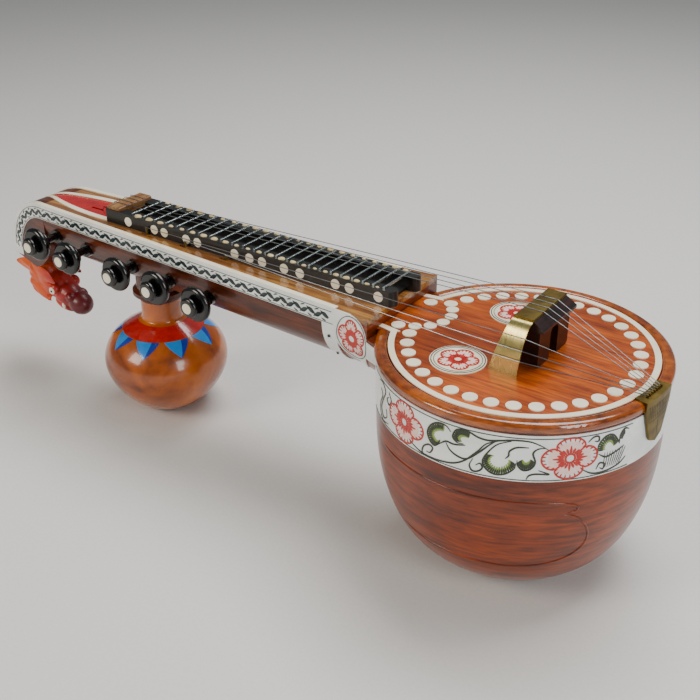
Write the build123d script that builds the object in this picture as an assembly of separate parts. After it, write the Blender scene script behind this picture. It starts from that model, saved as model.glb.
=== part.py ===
from build123d import *
import os
from math import cos, radians, sin, sqrt

# A small decorative Saraswati veena, in millimetres. X runs along the strings with the tail
# end at +X, Y across, +Z up. Pieces are drawn about the centre of the bowl's top plate and
# then moved, so that the finished part stands on z = 0 with its middle over the origin.

# Bowl
bowl_r = 69.4            # outside of the bowl under the rim
ring_r = bowl_r - 6.9    # white inlay line round the top plate
ring_line_w = 3.0
bowl_wall = 3.0
bowl_depth = 114.5       # top plate's face down to the surface that the part stands on
bowl_side = 34.0         # upright part of the side, below the top plate's face
bowl_foot_r = 12.0       # flat that the bowl stands on
bowl_fullness = 2.4      # 2 would be an ellipse; more makes the lower bowl fuller
plate_t = 3.0
rim_r = bowl_r + 1.2     # the rim stands out over the bowl
rim_w = 6.4
rim_rise = 0.8
rim_h = 5.3
inlay_t = 0.5            # how far inlay stands proud

# Neck, pegbox and head
shoulder_l = 22.6        # bowl's wall to the end of its shoulder
neck_l = 176.0           # shoulder to nut
pegbox_l = 54.5
joint_x = -bowl_r - shoulder_l       # where the neck starts
step_x = joint_x + 24.5              # end of the neck's top plate, over the bowl
nut_x = joint_x - neck_l             # where the pegbox starts
scroll_x = nut_x - pegbox_l          # end of the pegbox and centre of the scroll's curl
scroll_r = 40.5
scroll_end_deg = 184.0
head_reach = 59.5 - scroll_x         # bowl centre to the tip of the dragon's crest
neck_top = 7.5           # face of the neck's top plate above the bowl's top plate
side_bottom = -2.0       # where the neck's upright sides turn into its round underside
neck_wall = 3.0
stations = [             # x, half width, lowest point
    (joint_x + 36.0, 37.0, -42.0), (joint_x + 30.0, 34.0, -38.0), (joint_x + 22.0, 31.8, -34.5),
    (joint_x + 12.0, 30.8, -32.0), (joint_x, 30.3, -31.0), (scroll_x, 18.4, -27.5),
]
scroll_tip_w = 12.0      # half width at the end of the scroll
band_t = 0.5             # white celluloid bands
band_h = 9.5
binding_w = 2.6
binding_t = 0.4

# White band round the bowl, collar
bowl_band_top = -5.0
bowl_band_h = 23.5
strap_x0, strap_x1 = joint_x - 4.5, joint_x + 4.0
plate_cx, plate_cz = joint_x + 14.0, -6.5
plate_rx, plate_rz = 10.4, 13.6

# Frets, ledges, nut
ledge_y0, ledge_y1 = 7.5, 13.9
ledge_h = 8.1
ledge_end_x = step_x + 3.0
bed_t = 1.5
fret_count = 24
fret_first_x = nut_x + 20.5
fret_first_gap, fret_last_gap = 9.0, 6.3
fret_half = 12.1
fret_w, fret_h = 1.3, 1.1
ledge_dot_r = 2.7
nut_w, nut_half = 10.5, 13.0
nut_top = 17.6
nut_sink = 2.6           # how deep the nut sits in the ledges

# Bridge
bridge_x0, bridge_x1 = 2.5, 18.0
bridge_half = 17.0
bridge_h = 23.6
leg_gap = 8.0
leg_gap_h = 16.5
leg_inset = 2.6
brass_w = 10.0
brass_t = 1.2
side_t = 0.8
side_reach = 9.6

# Tailpiece
tail_deg = -6.0
tail_span_deg = 9.0
tail_drop = 22.0
tail_t = 0.9

# Strings
string_r = 0.22
nut_pitch, bridge_pitch, tail_pitch = 4.4, 5.0, 2.1
drone_y = [-15.1, -15.8, -16.4]
drone_heights = [18.0, 12.6, 7.6]
post_tops = [11.6, 10.8, 10.0]
post_r = 0.6
string_gap = 0.3         # a string ends just clear of its winding, which turns
pin_gap = 0.8

# Pegs: name, x, height, side (-1 near, +1 far), y of the winding. The mains' pegs are placed
# from the end of the pegbox and the drones' from the nut.
peg_face = 41.9
shaft_r = 2.4
run_gap = 0.05           # radial running clearance of a shaft in its bush and bore
bush_r = 4.2
bush_proud = 2.5
peg_tip_in = 2.0         # how far a shaft's tip enters the far wall
bush_in = 0.3
winding_gap = 0.02
winding_t = 0.9
winding_w = 1.6
dot_r = 3.0
dot_proud, dot_sink = 0.4, 0.8
pegs = [
    ("peg_1", scroll_x + 12.5, -10.0, -1, -nut_pitch / 2),
    ("peg_2", scroll_x + 39.5, -12.5, -1, -3 * nut_pitch / 2),
    ("peg_3", nut_x + 26.6, -12.0, -1, drone_y[0]),
    ("peg_4", nut_x + 57.5, -12.5, -1, drone_y[1]),
    ("peg_5", nut_x + 88.4, -14.0, -1, drone_y[2]),
    ("peg_6", scroll_x + 46.5, -12.5, 1, 3 * nut_pitch / 2),
    ("peg_7", scroll_x + 19.5, -11.0, 1, nut_pitch / 2),
]

# Gourd
gourd_x = nut_x + 24.2
gourd_r = 38.1
gourd_mid = -79.5        # height of the widest part
gourd_foot_r = 8.0
gourd_wall = 2.0
gourd_neck_r = 12.5
gourd_neck_top = -40.0
socket_r = 16.5

tail_reach = rim_r + tail_t + 0.1
place = Location(((head_reach - tail_reach) / 2, 0, bowl_depth))
nodes = {}


def block(x0, x1, y0, y1, z0, z1):
    return Pos((x0 + x1) / 2, (y0 + y1) / 2, (z0 + z1) / 2) * Box(x1 - x0, y1 - y0, z1 - z0)


def disc(x, y, z, r, h):
    """Upright cylinder with its foot at z."""
    return Pos(x, y, z + h / 2) * Cylinder(r, h)


def rod_y(x, z, r, y0, y1):
    """Cylinder along Y from y0 to y1."""
    return Pos(x, (y0 + y1) / 2, z) * Rot(90, 0, 0) * Cylinder(r, abs(y1 - y0))


def prism_xy(points, z0, z1):
    return Pos(0, 0, z0) * extrude(make_face(Polyline(*points, close=True)), z1 - z0)


def prism_xz(face, half):
    """Extrude a face drawn in XZ to both sides of the centre plane."""
    return extrude(Plane.XZ * face, half, both=True)


def station(x):
    """Half width and lowest point of the neck's outside at x."""
    for (xa, wa, la), (xb, wb, lb) in zip(stations, stations[1:]):
        if xb <= x <= xa:
            k = (x - xa) / (xb - xa)
            return wa + k * (wb - wa), la + k * (lb - la)
    raise ValueError(x)


def neck_section(x, grow, top):
    w, low = station(x)
    w, low = w + grow, low - grow
    plane = Plane(origin=(x, 0, 0), x_dir=(0, 1, 0), z_dir=(1, 0, 0))
    sides = Polyline((w, side_bottom), (w, top), (-w, top), (-w, side_bottom))
    under = EllipticalCenterArc((0, side_bottom), w, side_bottom - low, 180, arc_size=180)
    return plane * make_face(sides + under)


def neck_body(x0, x1, grow=0.0, top=neck_top - plate_t):
    """Solid of the neck's outside between two x values, grown by `grow` all round."""
    xs = [x0] + [s[0] for s in stations if x1 < s[0] < x0] + [x1]
    return loft([neck_section(x, grow, top) for x in xs], ruled=True)


def side_y(x, z, grow=0.0):
    """Distance from the centre plane to the neck's side at x and height z."""
    w, low = station(x)
    down = max(0.0, side_bottom - z) / (side_bottom - low + grow)
    return (w + grow) * sqrt(1 - down * down)


def plan_outline(grow=0.0):
    """Top view of neck, pegbox and scroll, grown by `grow`, as a closed list of points."""
    half = [(step_x, station(step_x)[0])]
    half += [(x, w) for x, w, low in stations if x < step_x]
    half += [(scroll_x - scroll_r - 1.0, scroll_tip_w)]
    return [(x, w + grow) for x, w in half] + [(x, -w - grow) for x, w in reversed(half)]


def curl_strip(inner, outer, x0=step_x, end_deg=scroll_end_deg):
    """XZ face between two depths below the neck's top, straight and then round the curl."""
    cz = neck_top - scroll_r
    a = radians(end_deg)
    mid = radians((90 + end_deg) / 2)

    def on(r, t):
        return (scroll_x + r * cos(t), cz + r * sin(t))

    ro, ri = scroll_r - outer, scroll_r - inner
    edges = Line((x0, neck_top - outer), (scroll_x, neck_top - outer))
    edges += ThreePointArc((scroll_x, neck_top - outer), on(ro, mid), on(ro, a))
    edges += Line(on(ro, a), on(ri, a))
    edges += ThreePointArc(on(ri, a), on(ri, mid), (scroll_x, neck_top - inner))
    edges += Line((scroll_x, neck_top - inner), (x0, neck_top - inner))
    edges += Line((x0, neck_top - inner), (x0, neck_top - outer))
    return make_face(edges)


def bowl_profile(wall):
    """Half section of the bowl, `wall` inside its outside, closed on the axis."""
    r, low = bowl_r - wall, bowl_depth - wall
    foot = bowl_foot_r - wall / 2
    h = low - bowl_side
    knots = [(r, -bowl_side)]
    for t in (0.3, 0.55, 0.78, 0.93):
        knots.append(((r - foot) * (1 - t ** bowl_fullness) ** (1 / bowl_fullness) + foot,
                      -bowl_side - t * h))
    knots.append((foot, -low))
    side = Spline(*knots, tangents=[(0, -1), (-1, 0)])
    top = -plate_t
    lines = Polyline((foot, -low), (0, -low), (0, top), (r, top), (r, -bowl_side))
    return Plane.XZ * make_face(side + lines)


def taut(*points):
    """Taut string: a thin six-sided rod through the points, mitred where it turns."""
    path = Polyline(*points)
    start = Plane(origin=path @ 0, z_dir=path % 0)
    return sweep(start * RegularPolygon(string_r, 6), path, transition=Transition.RIGHT)


def make_bowl():
    outside = revolve(bowl_profile(0), Axis.Z)
    hollow = revolve(bowl_profile(bowl_wall), Axis.Z)
    shoulder = neck_body(stations[0][0], joint_x)
    over_plate = block(step_x, 0, -60, 60, -plate_t, 20)
    tongue = block(step_x, -50, -24, 24, -plate_t, 0)
    shoulder -= over_plate
    nodes["bowl_shell"] = outside + shoulder - hollow - tongue
    plate_r = rim_r - rim_w
    nodes["bowl_top_plate"] = disc(0, 0, -plate_t, plate_r, plate_t) + tongue
    # The plate rests on four small inner blocks glued to the bowl's wall.
    blocks = Part()
    for deg in (45, 135, 225, 315):
        a = radians(deg)
        r = bowl_r - bowl_wall - 3.6
        blocks += Pos(r * cos(a), r * sin(a), -plate_t - 5) * Rot(0, 0, deg) * Box(7, 14, 10)
    nodes["plate_blocks"] = blocks & hollow
    section = Pos(rim_r - rim_w / 2, rim_rise - rim_h / 2) * Rectangle(rim_w, rim_h)
    section = fillet(section.vertices().sort_by(Axis.X)[2:] + section.vertices().sort_by(
        Axis.X)[:2].sort_by(Axis.Y)[1:], 2.2)
    rim = revolve(Plane.XZ * section, Axis.Z)
    seat = disc(0, 0, -20, bowl_r, 20 - plate_t)
    gate = block(step_x, -50, -24, 24, -plate_t, rim_rise + 1)
    nodes["top_plate_rim"] = rim - seat - gate - shoulder \
        - neck_body(step_x, joint_x, top=neck_top)


def make_bowl_trim():
    half = ring_line_w / 2
    opening = 22.0
    ring = disc(0, 0, 0, ring_r + half, inlay_t) - disc(0, 0, 0, ring_r - half, inlay_t)
    ring -= block(joint_x, 0, -opening, opening, -1, 2)
    for side in (-1, 1):
        turn = -sqrt(ring_r ** 2 - opening ** 2)
        ends = [(turn + 2.5, opening - half), (turn - 0.5, opening + half),
                (step_x, opening), (step_x, opening - ring_line_w)]
        ring += prism_xy([(x, side * y) for x, y in ends], 0, inlay_t)
    nodes["rim_inlay_line"] = ring
    dot_r_plate, dot_ring = 3.5, ring_r - 7.7
    count = 32
    spread = 318.0
    dots = Part()
    for i in range(count):
        a = radians(-spread / 2 + i * spread / (count - 1))
        dots += disc(dot_ring * cos(a), dot_ring * sin(a), 0, dot_r_plate, inlay_t)
    for side in (-1, 1):
        dots += disc(step_x + 6.9, side * 15.2, 0, dot_r_plate, inlay_t)
    nodes["rim_inlay_dots"] = dots
    arch = Part()
    arch_x, arch_y, arch_r = step_x + 7.0, 3.6, 17.2
    arch_first, arch_step = -64.0, 25.5
    for i in range(5):
        a = radians(arch_first + i * arch_step)
        arch += disc(arch_x + arch_r * cos(a), arch_y + arch_r * sin(a), 0, dot_r_plate * 0.92,
                     inlay_t)
    nodes["arch_inlay_dots"] = arch
    for name, side in (("rosette_near", -1), ("rosette_far", 1)):
        nodes[name] = disc(-18.4, side * 29.0, 0, 13.4, inlay_t)


def make_white_bands():
    """Thin skins that follow the bowl's side, its shoulder and the neck."""
    head_x = strap_x0 - 2
    core = neck_body(stations[0][0], head_x, 0) + disc(0, 0, -bowl_side, bowl_r, bowl_side)
    skin = neck_body(stations[0][0], head_x, band_t, neck_top) \
        - neck_body(stations[0][0], head_x, 0, neck_top)
    skin += disc(0, 0, -bowl_side, bowl_r + band_t, bowl_side)
    skin -= core
    low = bowl_band_top - bowl_band_h
    front_x = step_x + 5.0
    out = rim_r + 20
    nodes["bowl_band"] = (skin & block(front_x, out, -out, out, low, bowl_band_top)) \
        - block(front_x, -20, -20, 20, low - 1, 10)
    outline = Pos(plate_cx, plate_cz) * Ellipse(plate_rx, plate_rz)
    outline += make_face(Polyline((plate_cx - 4, plate_cz - 9), (plate_cx + 5, plate_cz - 18),
                                  (plate_cx + 9.6, plate_cz - 2), close=True))
    outline += make_face(Polyline((strap_x1, neck_top), (plate_cx, neck_top),
                                  (plate_cx, plate_cz - 6), (strap_x1, plate_cz - 6),
                                  close=True))
    outline += make_face(Polyline((plate_cx + 5, plate_cz + 3), (plate_cx + 5, plate_cz - 9),
                                  (front_x, plate_cz - 10), (front_x, bowl_band_top), close=True))
    both = skin & prism_xz(outline, 60)
    nodes["collar_plate_near"] = both & block(nut_x, front_x, -60, 0, -60, 20)
    nodes["collar_plate_far"] = both & block(nut_x, front_x, 0, 60, -60, 20)
    strap_grow = band_t + 0.1
    strap = neck_body(strap_x1, strap_x0, strap_grow, top=side_bottom + 0.5)
    nodes["collar_strap"] = strap - neck_body(strap_x1 + 1, strap_x0 - 1, 0) \
        - nodes["collar_plate_near"] - nodes["collar_plate_far"]
    pins = Part()
    pin_x = (strap_x0 + strap_x1) / 2
    for side in (-1, 1):
        for z in (-9.0, -22.0):
            y = side * side_y(pin_x, z)
            pins += rod_y(pin_x, z, 0.8, y - side * 2.5, y + side * 1.3)
    nodes["collar_pins"] = pins
    nodes["collar_strap"] -= pins
    nodes["bowl_shell"] -= pins


def make_neck():
    inner = neck_body(joint_x - 8, nut_x + 6, -neck_wall, top=neck_top)
    nodes["neck_shell"] = neck_body(joint_x, nut_x) - inner - nodes["collar_pins"]
    hollow = neck_body(nut_x - 2, scroll_x + 4, -neck_wall, top=neck_top)
    nodes["pegbox_shell"] = neck_body(nut_x, scroll_x) - hollow
    plan = prism_xy(plan_outline(), neck_top - plate_t, neck_top)
    nodes["neck_top_plate"] = plan & block(nut_x, step_x, -60, 60, -10, 20)
    cz = neck_top - scroll_r
    a = radians(scroll_end_deg)
    tip = (scroll_x + scroll_r * cos(a), cz + scroll_r * sin(a))
    mid = radians((90 + scroll_end_deg) / 2)
    low = station(scroll_x)[1]
    edges = ThreePointArc((scroll_x, neck_top),
                          (scroll_x + scroll_r * cos(mid), cz + scroll_r * sin(mid)), tip)
    back = (scroll_x - 17.0, low - 12.0)
    edges += Line(tip, back)
    edges += ThreePointArc(back, (scroll_x - 7.0, low - 6.5), (scroll_x, low))
    edges += Line((scroll_x, low), (scroll_x, neck_top))
    outline = prism_xy(plan_outline(), -120, 20)
    nodes["head_scroll"] = prism_xz(make_face(edges), 40) & outline
    nodes["pegbox_top_plate"] = plan & block(scroll_x, nut_x, -60, 60, -10, 20)


def lens(reach, half):
    """Pointed outline of the red panel, from the nut to a point on the scroll."""
    tip = (scroll_x - reach, 0)
    edges = Line((nut_x, -half), (nut_x, half))
    for side in (1, -1):
        bulge = ((nut_x + tip[0]) / 2, side * half * 0.86)
        edges += ThreePointArc((nut_x, side * half), bulge, tip)
    return Pos(0, 0, -20) * extrude(make_face(edges), 50)


def make_pegbox_top():
    panel_t = 2.0
    panel = prism_xz(curl_strip(0.3 + panel_t, 0.3, nut_x), 40) & lens(14.0, 9.5)
    well = prism_xz(curl_strip(0.3 + panel_t, -1.0, nut_x), 40) & lens(14.0, 9.5)
    nodes["pegbox_top_plate"] -= lens(14.0, 9.5)
    nodes["head_scroll"] -= well
    nodes["pegbox_panel"] = panel
    ring = lens(19.0, 13.0) - lens(14.0, 9.5)
    nodes["pegbox_border"] = prism_xz(curl_strip(0, -binding_t, nut_x), 40) & ring


def make_neck_bands():
    slab = prism_xy(plan_outline(band_t), -120, 20) - prism_xy(plan_outline(), -121, 21)
    strip = prism_xz(curl_strip(band_h, 0, strap_x1), 60) & slab
    edge = prism_xy(plan_outline(band_t), -120, 20) - prism_xy(plan_outline(-binding_w), -121, 21)
    bind = prism_xz(curl_strip(0, -binding_t, strap_x1), 60) & edge
    for name, y0, y1 in (("near", -60, 0), ("far", 0, 60)):
        cut = block(-head_reach, 0, y0, y1, -120, 40)
        nodes["neck_edge_band_" + name] = (strip & cut) - nodes["collar_strap"]
        nodes["neck_binding_" + name] = (bind & cut) - nodes["pegbox_border"]


def make_fretboard():
    top = neck_top + ledge_h
    end_r = (ledge_y1 - ledge_y0) / 2
    nut = block(nut_x + 0.5, nut_x + 0.5 + nut_w, -nut_half, nut_half, top - nut_sink, nut_top)
    nut = fillet(nut.edges().filter_by(Axis.Y).group_by(Axis.Z)[-1], 1.2)
    for name, side in (("fret_ledge_near", -1), ("fret_ledge_far", 1)):
        y0, y1 = sorted((side * ledge_y0, side * ledge_y1))
        bar = block(nut_x, ledge_end_x - end_r, y0, y1, neck_top, top)
        bar += disc(ledge_end_x - end_r, (y0 + y1) / 2, neck_top, end_r, ledge_h)
        nodes[name] = bar - nut
    nodes["fret_bed"] = block(nut_x + 12, ledge_end_x - 2 * end_r, -ledge_y0, ledge_y0, neck_top,
                              neck_top + bed_t)
    frets = Part()
    x = fret_first_x
    for i in range(fret_count):
        bar = block(x - fret_w / 2, x + fret_w / 2, -fret_half, fret_half, top, top + fret_h)
        frets += fillet(bar.edges().filter_by(Axis.Y).group_by(Axis.Z)[-1], 0.45)
        x += fret_first_gap + (fret_last_gap - fret_first_gap) * i / (fret_count - 2)
    nodes["frets"] = frets
    # Dots stand in ones, twos and threes along the ledge's outer face.
    dot_t = 0.4
    z = neck_top + 3.9
    span = (nut_x + 18.5, ledge_end_x - 9.0)
    dots = Part()
    for k in (0.0, 0.12, 0.165, 0.262, 0.31, 0.465, 0.525, 0.575, 0.66, 0.72, 0.85, 0.9, 1.0):
        x = span[0] + k * (span[1] - span[0])
        for side in (-1, 1):
            dots += rod_y(x, z, ledge_dot_r, side * ledge_y1, side * (ledge_y1 + dot_t))
    nodes["ledge_dots"] = dots
    nodes["nut"] = nut


def make_bridge():
    width = bridge_x1 - bridge_x0
    body = Pos(0, bridge_h / 2) * Rectangle(2 * bridge_half, bridge_h)
    feet = body.vertices().group_by(Axis.Y)[0]
    body = fillet(feet, 4.5)
    gap_top = leg_gap_h - leg_gap / 2
    body -= Pos(0, gap_top / 2) * Rectangle(leg_gap, gap_top)
    body -= Pos(0, gap_top) * Circle(leg_gap / 2)
    table = Pos(bridge_x0, 0, 0) * extrude(Plane.YZ * body, width)
    slab_low = bridge_h - 4.6
    for side in (-1, 1):
        low_x, high_x = (bridge_x0, bridge_x0 + leg_inset) if side < 0 \
            else (bridge_x1 - leg_inset, bridge_x1)
        table -= block(low_x, high_x, -bridge_half, bridge_half, 0, slab_low)
        y_cut = side * (bridge_half - 1.4)
        table -= block(bridge_x0, bridge_x1, min(y_cut, side * 30), max(y_cut, side * 30), 0,
                       slab_low)
    # Behind the brass the top slopes down, clear of the strings.
    x0, x1 = bridge_x0 + brass_w + 0.2, bridge_x1 + 1
    wedge = Polyline((x0, bridge_h), (x0, bridge_h + 1), (x1, bridge_h + 1),
                     (x1, bridge_h - 0.62 * (x1 - x0)), close=True)
    nodes["bridge_table"] = table - prism_xz(make_face(wedge), 30)
    brass = block(bridge_x0, bridge_x0 + brass_w, -bridge_half, bridge_half, bridge_h,
                  bridge_h + brass_t)
    nodes["bridge_brass"] = fillet(brass.edges().filter_by(Axis.Y).group_by(Axis.Z)[-1], 0.5)
    # Curved brass sheet beside the table, from its near end down to the top plate.
    top_z = bridge_h + 0.2
    y_top = -bridge_half - 0.2
    outer = EllipticalCenterArc((y_top, 0), side_reach, top_z, 90, arc_size=90)
    inner = EllipticalCenterArc((y_top, 0), side_reach - side_t, top_z - side_t, 90, arc_size=90)
    edges = outer + inner + Line(outer @ 0, inner @ 0) + Line(outer @ 1, inner @ 1)
    sheet = Pos(-20, 0, 0) * extrude(Plane.YZ * make_face(edges), 60)
    sides = Polyline((bridge_x0 + 0.3, top_z + 1), (bridge_x0 + brass_w, top_z + 1),
                     (bridge_x0 + 8.3, 0), (bridge_x0 - 6.2, 0), close=True)
    nodes["side_bridge"] = sheet & prism_xz(make_face(sides), 60)


def side_bridge_y(z):
    """Y of the side bridge's outer face at height z."""
    k = z / (bridge_h + 0.2)
    return -bridge_half - 0.2 - side_reach * sqrt(1 - k * k)


def make_tailpiece():
    r0 = ring_r + ring_line_w / 2 + 0.8
    r1 = rim_r + 0.1
    top = rim_rise + tail_t
    shape = Polyline((r0, rim_rise), (r0, top), (r1 + tail_t, top), (r1 + tail_t, -tail_drop),
                     (r1, -tail_drop), (r1, rim_rise), close=True)
    sheet = revolve(Plane.XZ * make_face(shape), Axis.Z, 2 * tail_span_deg)
    sheet = Rot(0, 0, -tail_span_deg) * sheet
    taper = Polyline((-12, 5), (12, 5), (11, -4), (7.5, -14), (5.5, -tail_drop + 2.5),
                     (0, -tail_drop), (-5.5, -tail_drop + 2.5), (-7.5, -14), (-11, -4),
                     close=True)
    sheet &= extrude(Plane.YZ * make_face(taper), 100)
    nodes["tailpiece"] = Rot(0, 0, tail_deg) * sheet
    pins = Part()
    for i in range(-3, 4):
        x, y = tail_point(i)
        pins += disc(x, y, rim_rise + tail_t, 0.6, 1.2)
    nodes["tail_pins"] = pins


def tail_point(i, inward=0.0):
    """Plan position of tail pin i, counted from the middle one."""
    r = rim_r - 2.6 - inward
    a = radians(tail_deg)
    across = i * tail_pitch
    return r * cos(a) - across * sin(a), r * sin(a) + across * cos(a)


def make_gourd():
    def skin(wall):
        knots = [(gourd_foot_r - wall, -bowl_depth + wall), (23.0 - wall, -bowl_depth + 7.0 + wall),
                 (gourd_r - wall, gourd_mid), (29.0 - wall, gourd_mid + 17.0 - wall),
                 (gourd_neck_r + 2.0 - wall, gourd_mid + 25.5),
                 (gourd_neck_r - wall, gourd_neck_top)]
        side = Spline(*knots, tangents=[(1, 0.15), (0, 1)])
        lines = Polyline(knots[-1], (0, knots[-1][1]), (0, knots[0][1]), knots[0])
        return revolve(Plane.XZ * make_face(side + lines), Axis.Z)

    shell = skin(0) - skin(gourd_wall)
    nodes["gourd_shell"] = Pos(gourd_x, 0, 0) * shell
    # Turned socket between the gourd's neck and the underside of the veena's neck.
    cup = Polyline((0, gourd_neck_top), (socket_r - 3.5, gourd_neck_top),
                   (socket_r - 3.5, gourd_neck_top + 1.5), (socket_r, gourd_neck_top + 3.5),
                   (socket_r, gourd_neck_top + 6.0), (socket_r - 2.5, gourd_neck_top + 7.5),
                   (socket_r - 2.5, -20.0), (0, -20.0), close=True)
    socket = Pos(gourd_x, 0, 0) * revolve(Plane.XZ * make_face(cup), Axis.Z)
    nodes["gourd_socket"] = socket - neck_body(gourd_x + 30, gourd_x - 20)


def make_yali():
    """Dragon head: neck, skull, hanging snout, crest, ears and eyes."""
    def egg(x, z, long, short, pitch):
        half = make_face(EllipticalCenterArc((0, 0), long, short, 0, arc_size=180)
                         + Line((-long, 0), (long, 0)))
        return Pos(x, 0, z) * Rot(0, pitch, 0) * revolve(half, Axis.X)

    head = egg(scroll_x - 29.5, -50.0, 13.0, 11.5, 0)
    head += egg(scroll_x - 18.5, -58.0, 15.0, 11.0, 25)
    head += egg(scroll_x - 7.5, -66.0, 16.5, 9.7, 20)
    head += Pos(scroll_x + 5.0, 0, -72.5) * Sphere(7.2)
    crest_tip, crest_z = -head_reach, -51.0
    root_x = scroll_x - 33.5
    crest = Polyline((crest_tip, crest_z + 0.6), (root_x, -43.0), (root_x + 4.0, -62.0),
                     (crest_tip, crest_z - 0.6), close=True)
    head += prism_xz(make_face(crest), 3.4)
    for side in (-1, 1):
        ear = Polyline((root_x + 4.0, -47.0), (root_x + 18.0, -44.0), (root_x + 25.0, -52.0),
                       (root_x + 11.0, -56.0), close=True)
        head += Pos(0, side * 9.6, 0) * prism_xz(make_face(ear), 1.6)
    head -= nodes["head_scroll"]
    nodes["yali_head"] = head
    eyes = Part()
    for side in (-1, 1):
        eyes += Pos(scroll_x - 15.0, side * 10.4, -60.5) * Sphere(2.3)
    nodes["yali_eyes"] = eyes
    nodes["yali_head"] -= eyes


def peg_blank(tip):
    """Turned peg along -Y from its face at y = -peg_face to its tip, about the Y axis."""
    def bead(base, crown, t0, t1):
        return ThreePointArc((base, t0), (crown, (t0 + t1) / 2), (base, t1))

    edges = Line((0, 0), (4.2, 0)) + bead(4.2, 5.8, 0, 3.2)
    edges += Polyline((4.2, 3.2), (3.4, 4.0), (3.4, 4.6), (8.6, 4.8))
    edges += bead(8.6, 10.3, 4.8, 9.2)
    edges += Line((8.6, 9.2), (4.2, 10.0)) + bead(4.2, 6.4, 10.0, 12.6)
    edges += Polyline((4.2, 12.6), (shaft_r, 14.0), (shaft_r, tip + peg_face),
                      (0, tip + peg_face), (0, 0))
    turned = revolve(Pos(0, 0, 0) * make_face(edges), Axis.Y)
    return Pos(0, -peg_face, 0) * turned


def make_pegs():
    """Seven pegs with their dots and windings, their bushes, and the bores that take them."""
    bushes = Part()
    for number, (name, x, z, side, wind_y) in enumerate(pegs, 1):
        outside = side_y(x, z)
        inside = side_y(x, z, -neck_wall)
        tip = inside + peg_tip_in
        wind = -abs(wind_y)
        ring = shaft_r + winding_gap
        dot = rod_y(x, z, dot_r, -peg_face - dot_proud, -peg_face + dot_sink)
        winding = rod_y(x, z, ring + winding_t, wind - winding_w / 2, wind + winding_w / 2) \
            - rod_y(x, z, ring, wind - winding_w, wind + winding_w)
        peg = Pos(x, 0, z) * peg_blank(tip) - dot + winding
        bush = rod_y(x, z, bush_r, -outside - bush_proud, -inside + bush_in)
        hole = bush + rod_y(x, z, bush_r, -outside - bush_r, -outside)
        bore = rod_y(x, z, shaft_r + run_gap, -outside - bush_r, tip + run_gap)
        solids = [peg, dot, bush - bore, hole + bore]
        if side > 0:
            solids = [mirror(s, about=Plane.XZ) for s in solids]
        nodes[name] = solids[0]
        nodes["peg_dot_%d" % number] = solids[1]
        bushes += solids[2]
        shell = "pegbox_shell" if x < nut_x else "neck_shell"
        nodes[shell] = nodes[shell] - solids[3]
    nodes["peg_bushes"] = bushes


def make_strings():
    """Seven taut strings from the tail pins to just clear of the pegs' windings."""
    mains, drones, posts = Part(), Part(), Part()
    tail_z = rim_rise + tail_t + 0.8
    over = winding_gap + winding_t + string_gap + string_r
    bridge_z = bridge_h + brass_t + string_r
    nut_z = nut_top + string_r
    nut_back = nut_x + 0.3
    drone = 0
    for name, x, z, side, y in pegs:
        if x < nut_x:
            k = y / nut_pitch
            tx, ty = tail_point(k + 1.5, pin_gap)
            end = (x + 1.2, y, z + shaft_r + over)
            mains += taut((tx, ty, tail_z), (bridge_x0 + brass_w, k * bridge_pitch, bridge_z),
                          (bridge_x0, k * bridge_pitch, bridge_z),
                          (nut_x + nut_w, y, nut_z), (nut_back, y, nut_z), end)
            run = (nut_back - end[0]) / (nut_z - end[2])
            x0, x1 = [nut_back - (nut_z - h) * run for h in (neck_top - 5.0, neck_top + 1.0)]
            slot = block(x0, x1, y - 0.8, y + 0.8, 0, 12)
            for node in ("pegbox_panel", "pegbox_top_plate"):
                nodes[node] -= slot
        else:
            tx, ty = tail_point(-1 - drone, pin_gap)
            zb = drone_heights[drone] + string_r
            yb = side_bridge_y(drone_heights[drone]) - string_r - 0.5
            post_x = x + 8.0
            zp = post_tops[drone] + string_r
            drones += taut((tx, ty, tail_z), (bridge_x0 + 9.5, yb, zb),
                           (bridge_x0 - 4.5, yb, zb), (post_x + post_r, y, zp),
                           (post_x - post_r - string_r, y, zp),
                           (x + 3.4, y, z + shaft_r + over))
            posts += disc(post_x, y, neck_top - plate_t, post_r,
                          post_tops[drone] - neck_top + plate_t)
            nodes["neck_top_plate"] -= block(x + 3.0, post_x, y - 0.8, y + 0.8, 0, 12)
            drone += 1
    nodes["main_strings"] = mains
    nodes["drone_strings"] = drones
    nodes["drone_posts"] = posts
    nodes["neck_top_plate"] -= posts


make_bowl()
make_bowl_trim()
make_white_bands()
make_neck()
make_pegbox_top()
make_neck_bands()
make_fretboard()
make_bridge()
make_tailpiece()
make_gourd()
make_yali()
make_pegs()
make_strings()

os.makedirs("parts", exist_ok=True)
for node, shape in nodes.items():
    export_step(place * shape, "parts/%s.step" % node)
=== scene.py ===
from math import cos, hypot, pi, radians, sin

import bmesh
import bpy
from mathutils import Matrix, Vector
from mathutils.bvhtree import BVHTree


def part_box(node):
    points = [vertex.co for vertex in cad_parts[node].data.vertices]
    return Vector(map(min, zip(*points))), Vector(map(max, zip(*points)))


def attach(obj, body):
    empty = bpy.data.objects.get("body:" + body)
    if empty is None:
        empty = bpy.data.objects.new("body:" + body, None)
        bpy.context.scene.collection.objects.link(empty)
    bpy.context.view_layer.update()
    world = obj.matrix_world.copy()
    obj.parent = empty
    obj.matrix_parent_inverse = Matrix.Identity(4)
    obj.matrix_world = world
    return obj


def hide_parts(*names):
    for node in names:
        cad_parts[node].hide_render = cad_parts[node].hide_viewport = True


# Looks of a small painted Saraswati veena. Every place is given in millimetres about the centre
# of the bowl's top plate, as the maker draws it, and at() moves it to where the veena stands.

bl_info = {
    "name": "Painted Veena",
    "version": (1, 0, 0),
    "blender": (4, 5, 0),
    "location": "View3D > Sidebar > Veena",
    "description": "Finishes, paint and carving of a small decorative veena",
    "category": "Add Mesh",
}

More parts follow.
